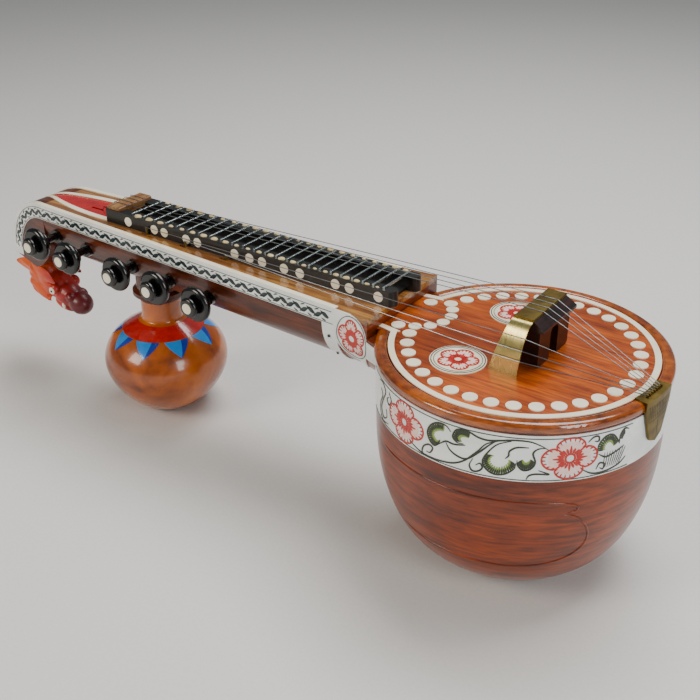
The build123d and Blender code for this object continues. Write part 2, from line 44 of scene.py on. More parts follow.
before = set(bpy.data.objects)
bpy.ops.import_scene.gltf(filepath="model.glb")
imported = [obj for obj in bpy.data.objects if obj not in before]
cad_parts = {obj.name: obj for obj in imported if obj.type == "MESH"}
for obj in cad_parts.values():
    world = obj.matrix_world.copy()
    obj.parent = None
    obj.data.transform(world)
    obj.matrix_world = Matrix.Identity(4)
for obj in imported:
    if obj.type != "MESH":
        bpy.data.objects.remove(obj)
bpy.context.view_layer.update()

MM = 0.001
rim_low, rim_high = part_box("top_plate_rim")
RIM_R = (rim_high.y - rim_low.y) / 2
BOWL = Vector((rim_high.x - RIM_R, 0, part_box("bowl_top_plate")[1].z))
BAND_LOW, BAND_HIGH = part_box("bowl_band")
BAND_R = (BAND_HIGH.y - BAND_LOW.y) / 2
GOURD_LOW, GOURD_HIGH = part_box("gourd_shell")


def at(x, y, z):
    """A point in millimetres about the bowl's centre, in the frame's metres."""
    return BOWL + Vector((x, y, z)) * MM


# ---------------------------------------------------------------- sizes and colours

def length(name, description, default, **limits):
    """A size in metres that a user may change."""
    return bpy.props.FloatProperty(name=name, description=description, default=default,
                                   unit="LENGTH", precision=5, **limits)


def colour(name, description, hex_code):
    """A colour that a user may change."""
    return bpy.props.StringProperty(name=name, description=description, default=hex_code)


class VeenaSizes(bpy.types.PropertyGroup):
    """Sizes of brushed lines, carved edges and wax beads"""
    paint_t: length("Paint", "Thickness of painted lines and fields", 0.00012, min=0.00005)
    line_w: length("Line", "Width of a brushed outline", 0.00085, min=0.0002)
    hatch_w: length("Hatch", "Width of a short shading stroke", 0.0006, min=0.0002)
    groove_r: length("Carved edge", "Radius of the bead that edges the carved bowl", 0.0007)
    wax_r: length("Wax", "Radius of a wax bead between the frets", 0.0017)


class VeenaColours(bpy.types.PropertyGroup):
    """Colours of the woods and the painted ornament"""
    bowl: colour("Bowl", "Varnished jackwood of the bowl, sRGB hex", "#983c00")
    bowl_dark: colour("Bowl grain", "Dark grain of the bowl, sRGB hex", "#521a00")
    plate: colour("Top plate", "Varnished top plate, sRGB hex", "#c25a00")
    plate_dark: colour("Top plate grain", "Dark grain of the top plate, sRGB hex", "#843200")
    rim: colour("Rim", "Amber rim, sRGB hex", "#ae5a08")
    flower: colour("Flower red", "Red of the painted flowers, sRGB hex", "#c41e0a")
    leaf: colour("Leaf", "Black-green of the painted leaves, sRGB hex", "#16200f")


# ---------------------------------------------------------------- materials

def linear(hex_code, alpha=1.0):
    """An sRGB hex colour as the linear RGBA that a shader takes."""
    parts = [int(hex_code[i:i + 2], 16) / 255 for i in (1, 3, 5)]
    return tuple(c / 12.92 if c <= 0.04045 else ((c + 0.055) / 1.055) ** 2.4 for c in parts) \
        + (alpha,)


def node(tree, kind, settings=(), links=()):
    """Adds a shader node with its settings and its incoming links, and returns it."""
    made = tree.nodes.new(kind)
    for key, value in dict(settings).items():
        if key in made.inputs.keys():
            made.inputs[key].default_value = value
        else:
            setattr(made, key, value)
    for key, source in dict(links).items():
        tree.links.new(source, made.inputs[key])
    return made


def start(name):
    """A new material, its node tree and its shader."""
    material = bpy.data.materials.new(name)
    material.use_nodes = True
    tree = material.node_tree
    return material, tree, tree.nodes["Principled BSDF"]


def ramp(tree, source, stops):
    """Colours a value by (place, hex colour) stops."""
    made = node(tree, "ShaderNodeValToRGB", links={"Fac": source})
    elements = made.color_ramp.elements
    while len(elements) < len(stops):
        elements.new(0.5)
    for element, (place, hex_code) in zip(elements, stops):
        element.position = place
        element.color = linear(hex_code)
    return made.outputs["Color"]


def mixed(tree, factor, a, b, blend="MIX"):
    """Mixes two colours, each a socket or a fixed RGBA."""
    made = node(tree, "ShaderNodeMix", {"data_type": "RGBA", "blend_type": blend})
    for index, value in ((0, factor), (6, a), (7, b)):
        if isinstance(value, (float, tuple)):
            made.inputs[index].default_value = value
        else:
            tree.links.new(value, made.inputs[index])
    return made.outputs[2]


def number(tree, operation, *values):
    """A Math node on numbers and sockets."""
    made = node(tree, "ShaderNodeMath", {"operation": operation})
    for index, value in enumerate(values):
        if isinstance(value, (int, float)):
            made.inputs[index].default_value = value
        else:
            tree.links.new(value, made.inputs[index])
    return made.outputs[0]


def bumped(tree, shader, height, strength, distance):
    """Lets a height pattern tilt the shader's normal."""
    bump = node(tree, "ShaderNodeBump", {"Strength": strength, "Distance": distance},
                {"Height": height})
    tree.links.new(bump.outputs["Normal"], shader.inputs["Normal"])


def object_place(tree, scale=(1, 1, 1)):
    """Object coordinates in metres, scaled along each axis."""
    coords = node(tree, "ShaderNodeTexCoord")
    return node(tree, "ShaderNodeMapping", {"Scale": scale},
                {"Vector": coords.outputs["Object"]}).outputs["Vector"]


def varnished_wood(name, light, dark, deep, grain, gloss=0.16, coat=1.0, patch=22.0):
    """Varnished timber: grain lines drawn out along one axis, slow patches of darker
    colour, fine pores, and a clear glossy coat."""
    material, tree, shader = start(name)
    lines = node(tree, "ShaderNodeTexNoise",
                 {"Scale": 1.0, "Detail": 9.0, "Roughness": 0.62, "Distortion": 0.6},
                 {"Vector": object_place(tree, grain)})
    base = ramp(tree, lines.outputs["Fac"], [(0.3, deep), (0.46, dark), (0.62, light)])
    # Fine pores run the same way, a few times closer together.
    fine = node(tree, "ShaderNodeTexNoise", {"Scale": 1.0, "Detail": 5.0},
                {"Vector": object_place(tree, [s * 3.2 for s in grain])})
    pores = ramp(tree, fine.outputs["Fac"], [(0.35, "#6b6b6b"), (0.55, "#ffffff")])
    grained = mixed(tree, 0.55, base, pores, "MULTIPLY")
    # Slow patches, a few centimetres across, where the stain went on thicker.
    slow = node(tree, "ShaderNodeTexNoise", {"Scale": patch, "Detail": 3.0, "Distortion": 0.8},
                {"Vector": object_place(tree)})
    stain = ramp(tree, slow.outputs["Fac"], [(0.35, "#8c6a58"), (0.6, "#ffffff")])
    stained = mixed(tree, 0.5, grained, stain, "MULTIPLY")
    tree.links.new(stained, shader.inputs["Base Color"])
    uneven = node(tree, "ShaderNodeMapRange",
                  {"To Min": gloss, "To Max": gloss + 0.14}, {"Value": slow.outputs["Fac"]})
    tree.links.new(uneven.outputs["Result"], shader.inputs["Roughness"])
    shader.inputs["Specular IOR Level"].default_value = 0.35
    shader.inputs["Coat Weight"].default_value = coat
    shader.inputs["Coat Roughness"].default_value = 0.07
    bumped(tree, shader, fine.outputs["Fac"], 0.12, 0.0002)
    return material


def enamel(name, main, other, rough=0.25, coat=0.5, mottle=160.0, amount=0.5, bump=0.05):
    """Brushed-on or moulded colour: nearly even, with faint mottling and brush unevenness."""
    material, tree, shader = start(name)
    cloud = node(tree, "ShaderNodeTexNoise", {"Scale": mottle, "Detail": 4.0},
                 {"Vector": object_place(tree)})
    shade = ramp(tree, cloud.outputs["Fac"], [(0.35, other), (0.6, main)])
    tree.links.new(mixed(tree, amount, linear(main), shade), shader.inputs["Base Color"])
    worn = node(tree, "ShaderNodeMapRange",
                {"To Min": max(rough - 0.06, 0.04), "To Max": rough + 0.1},
                {"Value": cloud.outputs["Fac"]})
    tree.links.new(worn.outputs["Result"], shader.inputs["Roughness"])
    shader.inputs["Coat Weight"].default_value = coat
    shader.inputs["Coat Roughness"].default_value = 0.08
    fine = node(tree, "ShaderNodeTexNoise", {"Scale": mottle * 6, "Detail": 2.0},
                {"Vector": object_place(tree)})
    bumped(tree, shader, fine.outputs["Fac"], bump, 0.0002)
    return material


def metal(name, main, tarnish, rough, brushed=(300, 300, 300), amount=0.6):
    """Brushed or drawn metal with fine lines and cloudy tarnish."""
    material, tree, shader = start(name)
    shader.inputs["Metallic"].default_value = 1.0
    cloud = node(tree, "ShaderNodeTexNoise", {"Scale": 130.0, "Detail": 6.0, "Distortion": 0.5},
                 {"Vector": object_place(tree)})
    shade = ramp(tree, cloud.outputs["Fac"], [(0.38, tarnish), (0.62, main)])
    tree.links.new(mixed(tree, amount, linear(main), shade), shader.inputs["Base Color"])
    lines = node(tree, "ShaderNodeTexNoise", {"Scale": 1.0, "Detail": 4.0},
                 {"Vector": object_place(tree, brushed)})
    grit = node(tree, "ShaderNodeMapRange", {"To Min": rough - 0.08, "To Max": rough + 0.14},
                {"Value": lines.outputs["Fac"]})
    tree.links.new(grit.outputs["Result"], shader.inputs["Roughness"])
    bumped(tree, shader, lines.outputs["Fac"], 0.15, 0.0001)
    return material


def gourd_skin():
    """Dried bottle gourd under orange varnish: cloudy brown patches, tiny dark specks."""
    material, tree, shader = start("varnished_gourd")
    slow = node(tree, "ShaderNodeTexNoise", {"Scale": 38.0, "Detail": 5.0, "Distortion": 0.7},
                {"Vector": object_place(tree)})
    base = ramp(tree, slow.outputs["Fac"], [(0.3, "#6a2c02"), (0.5, "#a85002"), (0.7, "#c86a06")])
    specks = node(tree, "ShaderNodeTexVoronoi", {"Scale": 260.0}, {"Vector": object_place(tree)})
    dark = ramp(tree, specks.outputs["Distance"], [(0.0, "#5a2408"), (0.12, "#ffffff")])
    tree.links.new(mixed(tree, 0.45, base, dark, "MULTIPLY"), shader.inputs["Base Color"])
    shader.inputs["Roughness"].default_value = 0.26
    shader.inputs["Coat Weight"].default_value = 0.5
    shader.inputs["Coat Roughness"].default_value = 0.06
    bumped(tree, shader, slow.outputs["Fac"], 0.2, 0.0006)
    return material


def dragon_paint():
    """Carved and painted head: orange crest and ears that turn red and then maroon towards
    the snout, which is at the head's +X end, with brush streaks."""
    material, tree, shader = start("painted_dragon_wood")
    low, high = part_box("yali_head")
    coords = node(tree, "ShaderNodeTexCoord")
    split = node(tree, "ShaderNodeSeparateXYZ", links={"Vector": coords.outputs["Object"]})
    along = node(tree, "ShaderNodeMapRange", {"From Min": low.x, "From Max": high.x},
                 {"Value": split.outputs["X"]}).outputs["Result"]
    streak = node(tree, "ShaderNodeTexNoise", {"Scale": 1.0, "Detail": 5.0},
                  {"Vector": object_place(tree, (90, 400, 400))})
    wander = number(tree, "MULTIPLY_ADD", streak.outputs["Fac"], 0.22, -0.11)
    base = ramp(tree, number(tree, "ADD", along, wander),
                [(0.0, "#e06008"), (0.5, "#d65006"), (0.66, "#b8200c"), (0.84, "#5c0610")])
    tree.links.new(base, shader.inputs["Base Color"])
    shader.inputs["Roughness"].default_value = 0.42
    shader.inputs["Coat Weight"].default_value = 0.25
    shader.inputs["Coat Roughness"].default_value = 0.15
    bumped(tree, shader, streak.outputs["Fac"], 0.25, 0.0003)
    return material


FINISH = {}


def make_finishes():
    c = bpy.context.scene.veena_colours
    # Jackwood, turned and varnished: red-brown with long fine grain under a wet-looking coat.
    FINISH["bowl"] = varnished_wood("varnished_jackwood", c.bowl, "#7e2e00", c.bowl_dark,
                                    (22, 22, 200), gloss=0.26, coat=0.35, patch=14.0)
    FINISH["neck"] = varnished_wood("varnished_jackwood_neck", "#6e2e0a", "#502006", "#341204",
                                    (18, 240, 240), gloss=0.28, coat=0.25)
    # Thin top plate, planed and varnished: bright orange-brown, grain along the strings.
    FINISH["plate"] = varnished_wood("varnished_top_plate", c.plate, "#a84600", c.plate_dark,
                                     (20, 240, 240), gloss=0.3, coat=0.25)
    FINISH["rim"] = varnished_wood("varnished_amber_rim", c.rim, "#9c4a0a", "#6e2c06",
                                   (60, 60, 320), gloss=0.14)
    # Neck's face: paler golden wood with streaks of brown.
    FINISH["neck_top"] = varnished_wood("varnished_golden_wood", "#b47e34", "#8e5620",
                                        "#5c3010", (16, 260, 260), gloss=0.24)
    FINISH["nut"] = varnished_wood("waxed_jackwood_nut", "#b89058", "#96683a", "#6c4420",
                                   (260, 40, 260), gloss=0.35, coat=0.3)
    # Rosewood, carved and oiled: nearly black with red-brown streaks.
    FINISH["rosewood"] = varnished_wood("oiled_rosewood", "#3a1610", "#200c08", "#100605",
                                        (300, 60, 300), gloss=0.34, coat=0.35)
    # Celluloid sheet, cut and glued: warm white, smooth, slightly yellowed in clouds.
    FINISH["white"] = enamel("white_celluloid", "#f8f1da", "#e8dcb8", 0.22, 0.6, 70.0, 0.6)
    FINISH["cool_white"] = enamel("painted_celluloid_ground", "#eef2ee", "#d6dcd6", 0.24, 0.6,
                                  80.0, 0.6)
    # Black fret wax, pressed by hand: dark and softly uneven.
    FINISH["wax"] = enamel("black_fret_wax", "#040404", "#0a0a0a", 0.4, 0.15, 240.0, 0.6, 0.35)
    FINISH["pale_wax"] = enamel("pale_bees_wax", "#cdbb8e", "#a98f5c", 0.45, 0.1, 420.0, 0.7,
                                0.4)
    # Lacquered turned wood: deep black with a mirror-like coat.
    FINISH["lacquer"] = enamel("black_lacquer", "#030303", "#070606", 0.2, 0.25, 300.0, 0.5)
    FINISH["red"] = enamel("red_gloss_paint", "#b00a0a", "#840406", 0.24, 0.5, 120.0, 0.6)
    FINISH["flower"] = enamel("flower_red_ink", c.flower, "#9c1206", 0.35, 0.3, 500.0, 0.5)
    FINISH["pink"] = enamel("flower_pink_wash", "#f4c8bc", "#f4ddd6", 0.35, 0.3, 400.0, 0.6)
    FINISH["leaf"] = enamel("leaf_black_green_ink", c.leaf, "#2a3818", 0.35, 0.3, 500.0, 0.6)
    FINISH["leaf_light"] = enamel("leaf_yellow_green_wash", "#86a03c", "#5f7c2c", 0.35, 0.3,
                                  500.0, 0.6)
    FINISH["teal"] = enamel("wave_black_teal_ink", "#0e2226", "#1e3c3c", 0.35, 0.3, 500.0, 0.6)
    # Sky blue is the paint of the gourd's triangles; the dark blue beside it is painted shade, a
    # shaded copy of the same paint.
    FINISH["sky"] = enamel("gourd_sky_blue_paint", "#2a8ee0", "#2078cc", 0.2, 0.8, 200.0, 0.5)
    FINISH["blue"] = enamel("gourd_blue_painted_shade", "#1238a8", "#0c2474", 0.2, 0.8, 200.0, 0.5)
    FINISH["ring_red"] = enamel("gourd_red_paint", "#c41a0e", "#98100a", 0.2, 0.8, 200.0, 0.5)
    # Drawn and rolled metals.
    FINISH["fret"] = metal("drawn_nickel_fret_wire", "#c2cdca", "#8d9694", 0.24, (40, 900, 900))
    FINISH["string"] = metal("drawn_steel_string", "#8c9092", "#6a6e70", 0.34, (60, 900, 900))
    FINISH["brass"] = metal("tarnished_brass_sheet", "#7c6834", "#3e3218", 0.38, (700, 60, 700))
    FINISH["pale_brass"] = metal("polished_pale_brass", "#cfc07c", "#a8965a", 0.26,
                                 (700, 60, 60))
    FINISH["gourd"] = gourd_skin()
    FINISH["dragon"] = dragon_paint()
    # Dark strips laid on the brass where the tailpiece is engraved: painted shade for the shadow
    # inside the grooves, which are not cut.
    FINISH["painted_groove_shade"] = enamel("engraved_line_painted_shade", "#2a0a08", "#120404", 0.5, 0.2)


# ---------------------------------------------------------------- mesh helpers

def deselect():
    """Leaves edit mode and clears the selection."""
    if bpy.context.object and bpy.context.object.mode != "OBJECT":
        bpy.ops.object.mode_set(mode="OBJECT")
    bpy.ops.object.select_all(action="DESELECT")


def settle(obj, name, finish):
    """Names a finished piece, brings its place into its mesh, and gives it its finish. Every
    added piece is fixed to the veena: only the pegs turn."""
    deselect()
    obj.select_set(True)
    bpy.context.view_layer.objects.active = obj
    for modifier in list(obj.modifiers):
        bpy.ops.object.modifier_apply(modifier=modifier.name)
    bpy.ops.object.transform_apply(location=True, rotation=True, scale=True)
    obj.name = name
    obj.data.name = name
    obj.data.materials.clear()
    obj.data.materials.append(FINISH[finish])
    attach(obj, "root")
    return obj


def new_mesh(name, vertices, faces):
    """A linked object with this mesh, its faces turned outwards."""
    mesh = bpy.data.meshes.new(name)
    mesh.from_pydata(vertices, [], faces)
    obj = bpy.data.objects.new(name, mesh)
    bpy.context.scene.collection.objects.link(obj)
    work = bmesh.new()
    work.from_mesh(mesh)
    bmesh.ops.recalc_face_normals(work, faces=work.faces)
    work.to_mesh(mesh)
    work.free()
    return obj


def skin_tree(*nodes):
    """What rays are cast on: the outsides of these CAD nodes, as one tree."""
    vertices, faces = [], []
    for name in nodes:
        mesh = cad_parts[name].data
        base = len(vertices)
        vertices += [v.co.copy() for v in mesh.vertices]
        faces += [[base + i for i in p.vertices] for p in mesh.polygons]
    return BVHTree.FromPolygons(vertices, faces)


class Skin:
    """A surface of the veena that takes paint. foot(u, v) gives a point outside the surface
    and the way to look from it, and the paint lies where that ray first meets the surface."""

    def __init__(self, nodes, foot):
        self.tree = skin_tree(*nodes)
        self.foot = foot

    def __call__(self, u, v, lift):
        origin, way = self.foot(u, v)
        hit, normal, index, distance = self.tree.ray_cast(origin, way)
        if hit is None:
            hit = self.tree.find_nearest(origin + way * 0.02)[0]
        return hit - way * lift


LANE_W = 1.4     # widest flat lane of paint that still follows a round surface, in millimetres


def paint(name, strips, skin, finish, lift=0.00008):
    """Closed strips of paint, each between two lines of (u, v) points in millimetres."""
    t = bpy.context.scene.veena_sizes.paint_t
    vertices, faces = [], []
    narrow = []
    for left, right in strips:
        widest = max(hypot(a[0] - b[0], a[1] - b[1]) for a, b in zip(left, right))
        cuts = max(1, int(widest / LANE_W + 0.5))
        lanes = [[tuple(p + (q - p) * k / cuts for p, q in zip(a, b))
                  for a, b in zip(left, right)] for k in range(cuts + 1)]
        narrow += list(zip(lanes, lanes[1:]))
    for left, right in narrow:
        count = len(left)
        base = len(vertices)
        for a, b in zip(left, right):
            for u, v in (a, b):
                vertices.append(skin(u, v, -t))
                vertices.append(skin(u, v, lift + t))
        for i in range(count - 1):
            p, q = base + 4 * i, base + 4 * i + 4
            faces += [(p + 1, p + 3, q + 3, q + 1), (p, q, q + 2, p + 2),
                      (p, p + 1, q + 1, q), (p + 2, q + 2, q + 3, p + 3)]
        p = base + 4 * (count - 1)
        faces += [(base, base + 2, base + 3, base + 1), (p, p + 1, p + 3, p + 2)]
    return settle(new_mesh(name, vertices, faces), name, finish)


def smooth_line(points, steps=6, closed=False):
    """A Catmull-Rom line through the points."""
    count = len(points)
    out = []
    spans = count if closed else count - 1
    for i in range(spans):
        if closed:
            p = [points[(i + k) % count] for k in (-1, 0, 1, 2)]
        else:
            p = [points[max(0, min(count - 1, i + k))] for k in (-1, 0, 1, 2)]
        for s in range(steps):
            t = s / steps
            out.append(tuple(0.5 * (2 * p[1][k] + (p[2][k] - p[0][k]) * t
                             + (2 * p[0][k] - 5 * p[1][k] + 4 * p[2][k] - p[3][k]) * t * t
                             + (3 * p[1][k] - p[0][k] - 3 * p[2][k] + p[3][k]) * t ** 3)
                             for k in (0, 1)))
    out.append(points[0] if closed else points[-1])
    return out


def stroke(points, width, taper=True):
    """A brush stroke along the points, thinning at its ends."""
    left, right = [], []
    last = len(points) - 1
    for i, (u, v) in enumerate(points):
        (ua, va), (ub, vb) = points[max(0, i - 1)], points[min(last, i + 1)]
        du, dv = ub - ua, vb - va
        size = hypot(du, dv) or 1.0
        k = i / last
        w = width / 2 * (0.35 + 0.65 * min(1.0, 4 * k, 4 * (1 - k)) if taper else 1.0)
        left.append((u - dv / size * w, v + du / size * w))
        right.append((u + dv / size * w, v - du / size * w))
    return left, right


def oval(cu, cv, ru, rv, steps=60):
    """Closed line round a centre."""
    turns = [2 * pi * i / steps for i in range(steps + 1)]
    return [(cu + ru * cos(t), cv + rv * sin(t)) for t in turns]


def ring_strip(cu, cv, inner, outer, steps=40):
    return oval(cu, cv, inner, inner, steps), oval(cu, cv, outer, outer, steps)


def leaf(root, tip, swell):
    """Leaf-shaped dab of paint from its root to its tip."""
    du, dv = tip[0] - root[0], tip[1] - root[1]
    size = hypot(du, dv)
    left, right = [], []
    for k in range(7):
        f = k / 6
        w = swell * sin(pi * f ** 0.8) + 0.03
        u, v = root[0] + du * f, root[1] + dv * f
        left.append((u - dv / size * w, v + du / size * w))
        right.append((u + dv / size * w, v - du / size * w))
    return left, right


def hatch(line, centre, depth, width, every=2):
    """Short strokes from an outline in towards a centre."""
    made = []
    for u, v in line[1:-1:every]:
        du, dv = centre[0] - u, centre[1] - v
        size = hypot(du, dv) or 1.0
        run = min(depth, size * 0.6)
        made.append(stroke([(u + du / size * run * k / 3, v + dv / size * run * k / 3)
                            for k in range(4)], width))
    return made


def flower(cu, cv, ru, rv, petals=4, turn=0.0, line=0.85, thin=0.6):
    """Outlined flower with a ring in the middle, tongues of colour and shaded petal edges."""
    steps = 96

    def edge(t):
        lobe = abs(cos(petals * (t - turn) / 2)) ** 0.55
        return 0.66 + 0.34 * lobe

    around = [2 * pi * i / steps for i in range(steps + 1)]
    outline = [(cu + ru * edge(t) * cos(t), cv + rv * edge(t) * sin(t)) for t in around]
    made = [stroke(outline, line, False), ring_strip(cu, cv, 0.17 * rv, 0.26 * rv)]
    for i in range(petals):
        t = turn + (i + 0.5) * 2 * pi / petals
        made.append(stroke([(cu + ru * k * cos(t), cv + rv * k * sin(t))
                            for k in (0.34, 0.46, 0.58, 0.67)], line))
    tongues = petals * 5
    for i in range(tongues):
        t = turn + 2 * pi * i / tongues
        reach = 0.62 if i % 5 == 0 else 0.5
        made.append(stroke([(cu + ru * k * cos(t), cv + rv * k * sin(t))
                            for k in (0.22, 0.32, 0.42, reach)], line * 1.35))
    return made + hatch(outline, (cu, cv), 0.18 * rv, thin, 3)


# Ornament of the bowl's band between two flowers: u along the band, v up from its middle.
FLOWER_GAP = 85.4
LEAF_LINES = {
    "leaf_top": [(23.1, -1.4), (20.4, -3.3), (17.7, -1.8), (16.0, 2.0), (17.7, 6.2),
                 (21.7, 9.0), (26.2, 9.2), (29.0, 6.9)],
    "leaf_top_end": [(35.7, 2.7), (32.2, 2.6), (30.0, 4.9), (31.6, 8.6), (34.9, 9.8),
                     (38.7, 9.4), (42.3, 8.0), (46.9, 7.4), (52.4, 8.2), (58.8, 9.2),
                     (66.0, 9.0), (71.0, 7.2), (75.1, 4.8)],
    "leaf_low": [(60.6, -2.3), (59.9, -5.3), (56.2, -8.3), (51.5, -9.3), (47.4, -7.6),
                 (45.3, -4.0), (46.9, 0.4), (51.5, 6.0), (57.9, 8.6)],
    "leaf_low_end": [(61.0, -0.8), (61.5, -3.6), (64.2, -5.7), (67.6, -4.7), (69.3, -1.4),
                     (68.0, 3.0), (70.1, 5.4), (73.3, 5.8)],
}
# Shaded stretch of each leaf's edge: first and last step along it, and the leaf's heart.
SHADED = {"leaf_top": (2, 48, (24.5, 3.0)), "leaf_top_end": (10, 42, (37.5, 4.0)),
          "leaf_low": (2, 50, (54.5, 1.0)), "leaf_low_end": (4, 34, (65.4, 1.5))}
STEM_LINES = [
    [(23.1, -1.4), (26.7, 1.3), (30.8, 1.1), (36.6, 2.3)],
    [(26.7, 0.7), (28.8, -2.3), (32.7, -4.3), (37.6, -4.4), (43.2, 0.3), (47.9, 5.1),
     (51.5, 8.0)],
    [(4.2, -7.0), (8.0, -8.9), (12.6, -10.1), (17.1, -10.4), (23.6, -10.0), (30.8, -8.7),
     (36.6, -5.5), (42.3, 0.4), (46.9, 5.7), (54.3, 8.6)],
    [(16.0, -10.4), (13.2, -9.6), (14.0, -6.2), (17.1, -4.1), (19.4, -5.1), (18.0, -8.0),
     (15.8, -8.2)],
    [(40.6, -3.4), (39.1, -7.2), (40.6, -9.7), (43.4, -9.3), (45.3, -7.2), (44.2, -5.1),
     (42.1, -6.5)],
    [(55.6, -0.5), (57.0, 1.1), (57.4, 3.6), (60.6, 5.7), (66.0, 5.9)],
    [(65.8, -10.4), (67.1, -8.2), (70.6, -7.4), (76.1, -7.6), (71.0, -5.5)],
]
TAIL_LEAF_LINES = {
    "leaf_up": [(99.1, 0.4), (99.1, 4.6), (102.3, 8.2), (106.4, 8.2), (109.7, 4.6),
                (110.8, 2.4)],
    "leaf_up_end": [(110.8, 2.4), (111.0, 7.0), (113.2, 9.4), (116.0, 8.4)],
}
TAIL_SHADED = {"leaf_up": (2, 36, (105.5, 1.0)), "leaf_up_end": (4, 18, (114.0, 4.0))}
TAIL_STEM_LINES = [
    [(99.6, -0.2), (103.9, -2.5), (109.7, -1.1), (114.0, 0.6)],
    [(91.4, -6.4), (97.5, -9.7), (105.1, -10.0), (112.1, -8.4), (116.0, -5.6)],
    [(99.1, -8.0), (100.7, -5.1), (103.4, -6.1), (102.8, -8.5), (100.9, -7.5)],
    [(93.4, 7.0), (95.9, 9.2), (98.5, 9.1), (98.8, 6.8), (96.7, 6.9)],
]
NECK_END_LINES = [
    [(-28.0, 8.6), (-22.5, 9.6), (-18.6, 6.6), (-21.4, 1.5), (-24.0, -4.0), (-21.0, -8.2),
     (-16.8, -6.0), (-17.6, -2.2)],
    [(-25.0, 5.6), (-22.6, 2.6), (-26.0, -3.0), (-25.2, -8.0), (-21.6, -10.2), (-15.0, -9.0)],
    [(-14.6, 8.4), (-12.0, 5.0), (-14.4, 1.8), (-16.6, 4.0), (-14.6, 5.6)],
]


def bowl_foot(u, v):
    """Paint on the band: u millimetres round from the band's first flower, v from its middle."""
    first_flower, drawn_in = radians(-110.0), 0.93
    turn = first_flower + u * drawn_in * MM / BAND_R
    out = Vector((cos(turn), sin(turn), 0))
    middle = (BAND_LOW.z + BAND_HIGH.z) / 2
    return Vector((BOWL.x, 0, middle + v * MM)) + out * BAND_R * 1.4, -out


def bowl_foot_far(u, v):
    """The same paint on the far side, mirrored across the strings."""
    origin, way = bowl_foot(u, v)
    return Vector((origin.x, -origin.y, origin.z)), Vector((way.x, -way.y, way.z))


# Neck: its upright side runs straight and then curls round the head.
NECK_TOP = (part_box("neck_top_plate")[1].z - BOWL.z) / MM
SCROLL_X = (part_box("pegbox_shell")[0].x - BOWL.x) / MM
SCROLL_R = SCROLL_X - (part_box("head_scroll")[0].x - BOWL.x) / MM
BAND_START = (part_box("neck_edge_band_near")[1].x - BOWL.x) / MM
STRAIGHT = BAND_START - SCROLL_X


def neck_foot(side):
    """u along the neck's top edge from the collar to the head, v down from that edge."""
    def foot(u, v):
        if u < STRAIGHT:
            x, z = BAND_START - u, NECK_TOP - v
        else:
            turn = pi / 2 + (u - STRAIGHT) / SCROLL_R
            x = SCROLL_X + (SCROLL_R - v) * cos(turn)
            z = NECK_TOP - SCROLL_R + (SCROLL_R - v) * sin(turn)
        return at(x, side * 70, z), Vector((0, -side, 0))
    return foot


def side_foot(side):
    """u is X and v is Z, on the neck's side."""
    return lambda u, v: (at(u, side * 70, v), Vector((0, -side, 0)))


def top_foot(u, v):
    """u is X and v is Y, seen from above."""
    return at(u, v, 60), Vector((0, 0, -1))


def round_foot(centre, reach):
    """u is degrees round an upright axis, v is Z."""
    def foot(u, v):
        out = Vector((cos(radians(u)), sin(radians(u)), 0))
        return Vector((centre.x, centre.y, BOWL.z + v * MM)) + out * reach, -out
    return foot


# ---------------------------------------------------------------- pieces

NODE_FINISH = {
    "bowl_shell": "bowl", "plate_blocks": "neck", "neck_shell": "neck", "pegbox_shell": "neck",
    "head_scroll": "neck", "gourd_socket": "neck", "bowl_top_plate": "plate",
    "top_plate_rim": "rim", "neck_top_plate": "neck_top", "pegbox_top_plate": "neck_top",
    "nut": "nut", "bowl_band": "cool_white", "collar_plate_near": "cool_white",
    "collar_plate_far": "cool_white", "collar_strap": "cool_white",
    "neck_edge_band_near": "cool_white", "neck_edge_band_far": "cool_white",
    "neck_binding_near": "white", "neck_binding_far": "white", "pegbox_border": "white",
    "rim_inlay_line": "white", "rim_inlay_dots": "white", "arch_inlay_dots": "white",
    "rosette_near": "white", "rosette_far": "white", "ledge_dots": "white",
    "drone_posts": "brass", "yali_eyes": "white", "yali_head": "dragon",
    # The fret bed takes the black wax finish: a thin black sheet between the ledges, partly the
    # wax there and partly painted shade for the valley under the frets.
    "fret_ledge_near": "wax", "fret_ledge_far": "wax", "fret_bed": "wax", "frets": "fret",
    "bridge_brass": "brass", "side_bridge": "pale_brass", "tailpiece": "brass",
    "tail_pins": "brass", "main_strings": "string", "drone_strings": "string",
    "bridge_table": "rosewood", "peg_bushes": "lacquer", "collar_pins": "lacquer",
    "pegbox_panel": "red", "gourd_shell": "gourd",
}


class VEENA_OT_finishes(bpy.types.Operator):
    """Makes the finishes and gives one to each turned, carved and fitted piece"""
    bl_idname = "veena.finishes"
    bl_label = "Finishes"

    def execute(self, context):
        make_finishes()
        for name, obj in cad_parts.items():
            finish = NODE_FINISH.get(name) or ("white" if "dot" in name else "lacquer")
            obj.data.materials.clear()
            obj.data.materials.append(FINISH[finish])
        return {"FINISHED"}


